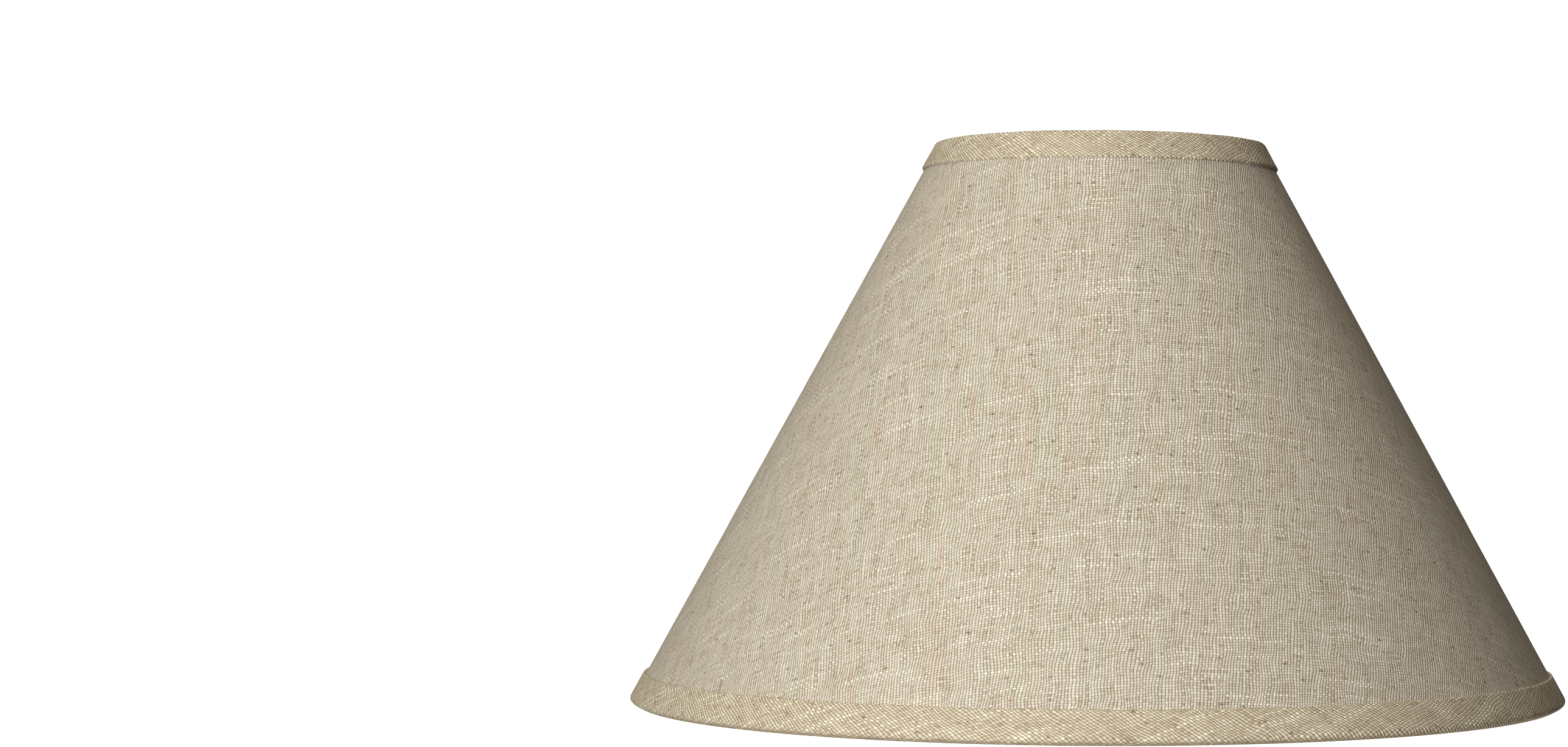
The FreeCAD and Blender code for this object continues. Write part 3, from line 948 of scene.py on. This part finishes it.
@dataclass
class Fitter:
    """Three bent wire arms that carry a washer below the top opening."""

    wall: Wall
    finish: Finish
    wire: float = 2.8
    bend: float = 10.0
    level_run: float = 5.0
    end_margin: float = 2.5
    weld_depth: float = 0.4
    washer_radius: float = 15.875
    washer_thickness: float = 1.6
    bore_radius: float = 5.55
    drop: float = 12.7
    roll: float = 0.3
    crisp: float = 0.08
    azimuths: tuple[int, ...] = (270, 30, 150)
    wire_sides: int = 24
    bend_steps: int = 8
    washer_steps: int = 96

    @property
    def washer_top(self) -> float:
        """Height of the washer's upper face."""
        return self.wall.place(Edge.TOP, -self.wall.wrap, self.wall.stack)[1] - self.drop

    def build(self) -> dict[str, bpy.types.Object]:
        """Makes the arms and the washer.

        Returns:
            Each piece under the name of the node that it stands for.
        """
        pieces = {
            f"spider_arm_{number}": self.arm(number, math.radians(azimuth))
            for number, azimuth in enumerate(self.azimuths, start=1)
        }
        pieces["spider_washer"] = self.washer()
        for piece in pieces.values():
            smooth(piece, CREASE_METAL)
            self.finish.dress(piece)
        return pieces

    def arm(self, number: int, azimuth: float) -> bpy.types.Object:
        """Makes one arm: a wire bent once, flattened where it is welded under the washer.

        Args:
            number: The arm's number.
            azimuth: Its direction from the axis, in radians.

        Returns:
            The arm.
        """
        underside = self.washer_top - self.washer_thickness
        level = underside - self.wire / 2 + self.weld_depth
        ring_radius, ring_height = self.wall.place(Edge.TOP, self.wall.ring_wire / 2, self.wall.ring_out)
        inner = self.bore_radius + self.end_margin
        bend_start = self.washer_radius + self.level_run
        slope = self.rise_angle(ring_radius - bend_start, ring_height - level)
        bend_end = bend_start + self.bend * math.sin(slope)
        reach = ring_radius - self.wall.ring_wire / 2 - bend_end
        deselect_all()
        bpy.ops.mesh.primitive_circle_add(
            vertices=self.wire_sides,
            radius=self.wire / 2 * MM,
            fill_type="NGON",
            location=(inner * MM, 0, level * MM),
            rotation=(0, math.pi / 2, 0),
        )
        arm = bpy.context.object
        arm.name = f"fitter_arm_{number}"
        bpy.ops.object.transform_apply(location=True, rotation=True, scale=True)
        bpy.ops.object.mode_set(mode="EDIT")
        bpy.ops.mesh.select_all(action="SELECT")
        for stretch in (self.washer_radius - inner, self.level_run):
            bpy.ops.mesh.extrude_region_move(TRANSFORM_OT_translate={"value": (stretch * MM, 0, 0)})
        bpy.ops.mesh.spin(
            steps=self.bend_steps,
            angle=slope,
            center=(bend_start * MM, 0, (level + self.bend) * MM),
            axis=(0, -1, 0),
        )
        rise = (reach * MM, 0, reach * math.tan(slope) * MM)
        bpy.ops.mesh.extrude_region_move(TRANSFORM_OT_translate={"value": rise})
        close_shell(open_ends=False)
        places = corner_places(arm)
        # pressed flat where it is welded under the washer
        under_washer = places[:, 0] < self.washer_radius + 0.5
        places[:, 2] = np.where(under_washer, np.minimum(places[:, 2], underside), places[:, 2])
        cosine, sine = math.cos(azimuth), math.sin(azimuth)
        places[:, :2] = places[:, :2] @ np.array([[cosine, sine], [-sine, cosine]])
        move_corners(arm, places)
        return arm

    def rise_angle(self, across: float, up: float) -> float:
        """The slope of the arm's rise, with its bend's radius allowed for."""
        slope = math.atan2(up, across)
        for _ in range(8):
            start_across = self.bend * math.sin(slope)
            start_up = self.bend * (1 - math.cos(slope))
            slope = math.atan2(up - start_up, across - start_across)
        return slope

    def washer(self) -> bpy.types.Object:
        """Makes the stamped washer, its upper rims rolled over and its lower ones left crisp."""
        top, bottom = self.washer_top, self.washer_top - self.washer_thickness
        roll, crisp = self.roll, self.crisp
        middle = 0.3 * roll
        outline = [
            (self.bore_radius, bottom + crisp),
            (self.bore_radius + crisp, bottom),
            (self.washer_radius - crisp, bottom),
            (self.washer_radius, bottom + crisp),
            (self.washer_radius, top - roll),
            (self.washer_radius - middle, top - middle),
            (self.washer_radius - roll, top),
            (self.bore_radius + roll, top),
            (self.bore_radius + middle, top - middle),
            (self.bore_radius, top - roll),
        ]
        return lathe("fitter_washer", outline, self.washer_steps)


# ---------------------------------------------------------------- studio


@dataclass(frozen=True)
class Softbox:
    """One square soft light, aimed at the shade; sizes in metres and power in watts."""

    name: str
    place: tuple[float, float, float]
    size: float
    power: float
    colour: str = "#FFFFFF"

    def build(self, target: Vector) -> None:
        """Makes the light, turned towards the target."""
        data = bpy.data.lights.new(self.name, "AREA")
        data.size = self.size
        data.energy = self.power
        data.color = linear(self.colour)[:3]
        light = bpy.data.objects.new(self.name, data)
        bpy.context.collection.objects.link(light)
        light.visible_camera = False
        light.location = self.place
        light.rotation_euler = (target - light.location).to_track_quat("-Z", "Y").to_euler()


@dataclass
class Studio:
    """A white floor and surround, a key light at the front left, weak fills and one light behind.

    The camera looks level. Sizes are in metres, the lens in millimetres and the roll in degrees.
    """

    floor_size: float = 16.0
    surround_radius: float = 7.5
    lights: tuple[Softbox, ...] = (
        Softbox("key_softbox", (-0.72, -2.08, 0.5), 0.8, 55.5),
        Softbox("overhead_softbox", (0.0, 0.0, 2.4), 1.2, 14.0, "#FFF3DC"),
        Softbox("floor_bounce", (0.0, -0.3, -1.1), 1.6, 7.0, "#FFF6E6"),
        Softbox("back_softbox", (0.0, 2.5, 0.5), 0.8, 32.0),
    )
    middle_height: float = 0.12
    fill: str = "#FFF1D8"
    fill_strength: float = 0.027
    eye_distance: float = 1.458
    eye_height: float = 0.128
    lens: float = 71.92
    shift: tuple[float, float] = (-0.2009, 0.0326)
    roll: float = -0.24

    def build(self) -> None:
        """Makes the stage, the lights and the camera."""
        self.stage()
        for light in self.lights:
            light.build(Vector((0, 0, self.middle_height)))
        self.world()
        self.camera()
        bpy.context.scene.view_settings.view_transform = "Standard"

    def stage(self) -> None:
        """Makes the floor and the surround, whose own glow keeps them white; neither lights the shade."""
        deselect_all()
        bpy.ops.mesh.primitive_plane_add(size=self.floor_size)
        floor = bpy.context.object
        floor.name = "studio_floor"
        bpy.ops.mesh.primitive_uv_sphere_add(segments=48, ring_count=24, radius=self.surround_radius)
        surround = bpy.context.object
        surround.name = "studio_surround"
        white = linear("#FFFFFF")
        for item, name, glow in ((floor, "matt_white_floor", 0.9), (surround, "white_surround", 1.05)):
            finish = Finish(name)
            place = finish.add("TexCoord").outputs["Object"]
            cloud = finish.add("TexNoise", {"Vector": place, "Scale": 3.0})
            colour = finish.ramp(cloud, ((0.3, "#C4C3C1"), (0.7, "#C8C7C5")))
            finish.surface(
                {"Base Color": colour}, Roughness=0.9, Emission_Strength=glow, Emission_Color=white
            )
            finish.dress(item)
            item.visible_diffuse = False
        floor.visible_shadow = surround.visible_shadow = False

    def world(self) -> None:
        """Makes the weak, even fill from all round."""
        world = bpy.data.worlds.new("studio_fill")
        bpy.context.scene.world = world
        world.use_nodes = True
        fill = next(node for node in world.node_tree.nodes if node.type == "BACKGROUND")
        fill.inputs["Color"].default_value = linear(self.fill)
        fill.inputs["Strength"].default_value = self.fill_strength

    def camera(self) -> None:
        """Makes the camera, close to the height of the shade's middle, with the shade right of centre."""
        data = bpy.data.cameras.new("camera")
        data.sensor_width = 36.0
        data.lens = self.lens
        data.shift_x, data.shift_y = self.shift
        camera = bpy.data.objects.new("camera", data)
        bpy.context.collection.objects.link(camera)
        camera.location = (0, -self.eye_distance, self.eye_height)
        camera.rotation_euler = (math.pi / 2, math.radians(self.roll), 0)
        bpy.context.scene.camera = camera


# ---------------------------------------------------------------- assembly


def settle_piece(piece: bpy.types.Object, node: str) -> None:
    """Puts a finished piece on the one body in place of its node's own piece, which it hides."""
    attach(piece, "root")
    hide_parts(node)
    LOG.info("%s stands for %s: %d faces", piece.name, node, len(piece.data.polygons))


def main() -> None:
    logging.basicConfig(level=logging.INFO, format="%(message)s")
    wall = Wall()

    linen = LinenLookCloth("slub_plain_weave", ThreadRun(86.65, 1.31), ThreadRun(5.7, 1.18))
    # the tapes' threads are really about 1.1 mm apart, and are drawn a little coarser so that they show
    tape_look = {
        "bands": ((0.35, "#FFFAF0"), (0.65, "#FDFAF0")),
        "gap_shade": 0.1,
        "slub_start": 0.6,
        "bump_height": 0.5,
    }
    bottom_tape = LinenLookCloth(
        "slub_bias_tape_bottom", ThreadRun(-35.0, 1.2), ThreadRun(21.0, 1.35), **tape_look
    )
    top_tape = LinenLookCloth("slub_bias_tape_top", ThreadRun(-36.0, 1.2), ThreadRun(27.0, 1.45), **tape_look)

    cover = Cover(wall, linen.make())
    cloth = cover.build()
    settle_piece(cloth, "cover")
    bottom_trim = Trim(wall, bottom_tape.make(), Edge.BOTTOM, width=12.7).build()
    settle_piece(bottom_trim, "bottom_trim")
    top_trim = Trim(wall, top_tape.make(), Edge.TOP, width=12.7, corner=0.9, steps=240, seed=17.0).build()
    settle_piece(top_trim, "top_trim")
    flat, area = cover.flat_size()

    settle_piece(Liner(wall, RolledStyrene().make()).build(), "liner")

    brass = WireMetal("brass_plated_steel_wire", "#D6C08E", "#BFA56E", 0.27).make()
    for node, piece in Fitter(wall, brass).build().items():
        settle_piece(piece, node)

    steel = WireMetal("cold_drawn_steel_wire", "#C4C4C2", "#9C9A96", 0.32).make()
    for name in ("top_ring", "bottom_ring"):
        steel.dress(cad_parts[name])
        LOG.info("%s keeps its own shape", name)
    AdhesiveStrip().make().dress(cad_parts["seam_tape"])

    Studio().build()


if __name__ == "__main__":
    main()
